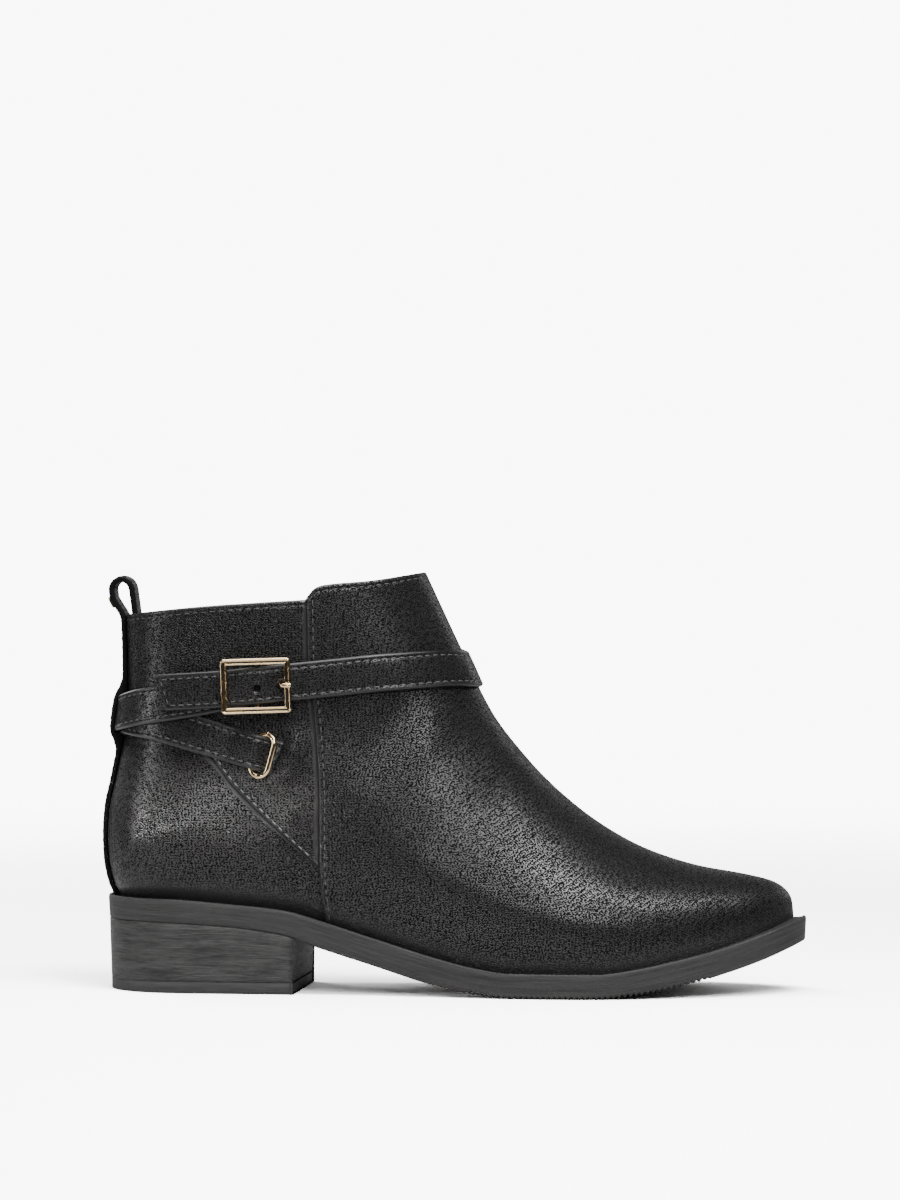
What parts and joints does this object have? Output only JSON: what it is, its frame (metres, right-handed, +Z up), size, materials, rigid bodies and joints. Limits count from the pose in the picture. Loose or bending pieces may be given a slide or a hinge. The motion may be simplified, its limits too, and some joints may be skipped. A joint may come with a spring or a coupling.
{
  "type": "zip ankle boot",
  "caption": "Low-heeled right ankle boot with a hollow lasted upper, buckled ankle straps, side zip with a swinging pull tab, welted sole and block heel.",
  "frame": {"origin": "on the floor, under the middle of the boot's box", "axes": "+X from heel to toe, +Z up, -Y to the outer side"},
  "size_m": [0.2668, 0.0922, 0.1584],
  "materials": {
    "outsole": "matt, finely lined side",
    "heel_block": "stacked look, satin",
    "top_lift": "matt",
    "insole": "plain cloth",
    "upper": "fine pebbled grain, soft sheen",
    "straps": "fine pebbled grain, soft sheen",
    "metal": "polished pale gold plate",
    "zip_tape": "woven tape",
    "zip_metal": "pale gold plate"
  },
  "bodies": {
    "boot": {"outsole": "outsole", "heel_block": "heel_block", "top_lift": "top_lift", "insole": "insole", "upper": "upper", "strap_front": "straps", "strap_rear": "straps", "strap_lower": "straps", "back_strip": "straps", "pull_loop": "straps", "loop_plate": "metal", "ring": "metal", "buckle_frame": "metal", "buckle_prong": "metal", "zip_tape": "zip_tape", "zip_stop": "zip_metal", "zip_teeth": "zip_metal", "zip_slider": "zip_metal"},
    "zip_pull": {"zip_pull": "zip_metal"}
  },
  "joints": [
    {"name": "pull_hinge", "type": "hinge", "parent": "boot", "child": "zip_pull", "pos_m": [-0.05137, 0.0295, 0.14202], "axis": [0.9937, -0.1122, 0], "range_deg": [0, 150]}
  ]
}
